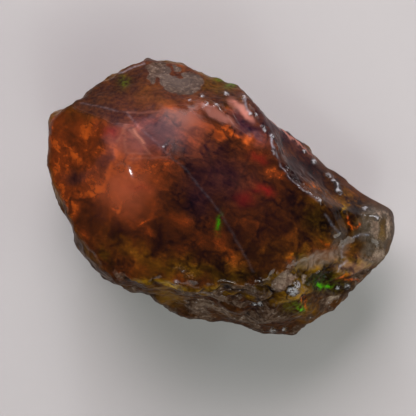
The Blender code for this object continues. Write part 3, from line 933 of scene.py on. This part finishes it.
def add_depth(tree, shader, rocky):
    """Clear glass that light goes through, but for rock and dense places."""
    shader.inputs["IOR"].default_value = REFRACTION
    shader.inputs["Specular IOR Level"].default_value = SHINE
    solid = sums(tree, "MAXIMUM", rocky, field(tree, "dense"))
    clear = sums(tree, "MULTIPLY_ADD", solid, -CLEARNESS, CLEARNESS)
    tree.links.new(clear, shader.inputs["Transmission Weight"])
    absorption = put(tree, "ShaderNodeVolumeAbsorption",
                     {"Color": TAKEN_COLOUR, "Density": TAKEN_PER_METRE})
    tree.links.new(absorption.outputs[0], tree.nodes["Material Output"].inputs["Volume"])


def opal_material():
    """Translucent amber stone with clouds, wisps and fire in it, and granular host rock on it."""
    material, tree, shader = principled("opal")
    place = millimetres(tree)
    curls, specks, grit = [cloud(tree, place, name) for name in ("curls", "specks", "grit")]
    rocky = fade(tree, mottled(tree, field(tree, "crust"), grit, 0.5), "rock")
    coarse = changed(tree, 1.0, "calm", -0.7)
    colour = glass_colour(tree, amber_tone(tree, place, curls, specks), curls, specks)
    colour = add_host_rock(tree, colour, place, rocky, coarse, curls, grit)
    tree.links.new(add_flashes(tree, colour, specks), shader.inputs["Base Color"])
    add_finish(tree, shader, place, rocky, coarse, specks, grit)
    add_depth(tree, shader, rocky)
    return material


def shaped_stone():
    """A closed grid, its points in millimetres, and what each is made of and marked with."""
    ball = sphere_grid(GRID_CUTS)
    ways = (np.array([vert.co for vert in ball.verts]) + FINER_TOP) * (LENGTH, WIDTH, HEIGHT)
    ways /= np.linalg.norm(ways, axis=1)[:, None]
    reach, shares, by_skin, gap = stone_reach(ways)
    points = HEART + ways * reach[:, None]
    points = fitted(points + ways * (lump_rise(points) + rough_rise(points, shares))[:, None])
    resting = points[:, 2] < NEARLY_ZERO
    upper = soft_step(ways[:, 2], *UPPER_SIDE)
    points += ways * (crease_rise(picture_places(points)) * upper)[:, None]
    fields = surface_fields(points, ways, upper, by_skin, gap)
    points += ways * fine_rise(points, fields)[:, None]
    points[resting, 2] = 0
    return ball, fitted(points), fields


def make_stone():
    ball, points, fields = shaped_stone()
    for vert, point in zip(ball.verts, points):
        vert.co = Vector(point) * MM
    for face in ball.faces:
        face.smooth = True
    mesh = bpy.data.meshes.new("opal_stone")
    ball.to_mesh(mesh)
    ball.free()
    for name, values in fields.items():
        mesh.attributes.new(name, "FLOAT", "POINT").data.foreach_set("value", np.clip(values, 0, 1))
    mesh.materials.append(opal_material())
    stone = bpy.data.objects.new("opal_stone", mesh)
    bpy.context.scene.collection.objects.link(stone)
    return stone


def make_camera():
    data = bpy.data.cameras.new("camera")
    camera = bpy.data.objects.new("camera", data)
    bpy.context.scene.collection.objects.link(camera)
    turn = Matrix((RIGHT, UP, (0, 0, 1))).transposed().to_4x4()
    place = (Vector(VIEW_MIDDLE) + Vector((0, 0, VIEW_DISTANCE))) * MM
    camera.matrix_world = Matrix.Translation(place) @ turn
    data.sensor_width = 36
    data.sensor_height = 36
    data.angle = 2 * math.atan(VIEW_WIDTH / 2 / VIEW_DISTANCE)
    data.clip_start = 0.01
    bpy.context.scene.camera = camera


def make_floor():
    mesh = bpy.data.meshes.new("floor")
    floor_mesh = bmesh.new()
    bmesh.ops.create_grid(floor_mesh, x_segments=1, y_segments=1, size=FLOOR_REACH)
    floor_mesh.to_mesh(mesh)
    floor_mesh.free()
    material, _, shader = principled("pale_floor")
    shader.inputs["Base Color"].default_value = FLOOR_COLOUR
    shader.inputs["Roughness"].default_value = 0.9
    mesh.materials.append(material)
    floor = bpy.data.objects.new("floor", mesh)
    floor.location.z = -FLOOR_DROP
    bpy.context.scene.collection.objects.link(floor)


def soft_box(name, across, along, height, size, watts, colour):
    """A round or oval lamp that faces the stone."""
    data = bpy.data.lights.new(name, "AREA")
    data.shape = "ELLIPSE"
    data.size, data.size_y = size
    data.energy = watts
    data.color = colour
    lamp = bpy.data.objects.new(name, data)
    bpy.context.scene.collection.objects.link(lamp)
    lamp.location = Vector(RIGHT) * across + Vector(UP) * along + Vector((0, 0, height))
    lamp.rotation_euler = (LAMP_AIM - lamp.location).to_track_quat("-Z", "Y").to_euler()


def make_light():
    world = bpy.data.worlds.new("studio")
    bpy.context.scene.world = world
    world.use_nodes = True
    background = world.node_tree.nodes["Background"]
    background.inputs["Color"].default_value = SKY_COLOUR
    background.inputs["Strength"].default_value = SKY_STRENGTH
    for lamp in LAMPS:
        soft_box(*lamp)


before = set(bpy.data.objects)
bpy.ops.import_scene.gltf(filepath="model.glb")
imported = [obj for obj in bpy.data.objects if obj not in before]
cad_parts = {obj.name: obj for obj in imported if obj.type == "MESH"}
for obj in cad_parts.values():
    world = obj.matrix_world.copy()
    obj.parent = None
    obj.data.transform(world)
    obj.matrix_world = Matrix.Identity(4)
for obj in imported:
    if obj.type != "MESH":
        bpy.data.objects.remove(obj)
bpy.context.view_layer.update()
stone = make_stone()
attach(stone, "root")
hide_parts("rough_opal")
make_floor()
make_camera()
make_light()
bpy.context.scene.view_settings.view_transform = "Standard"
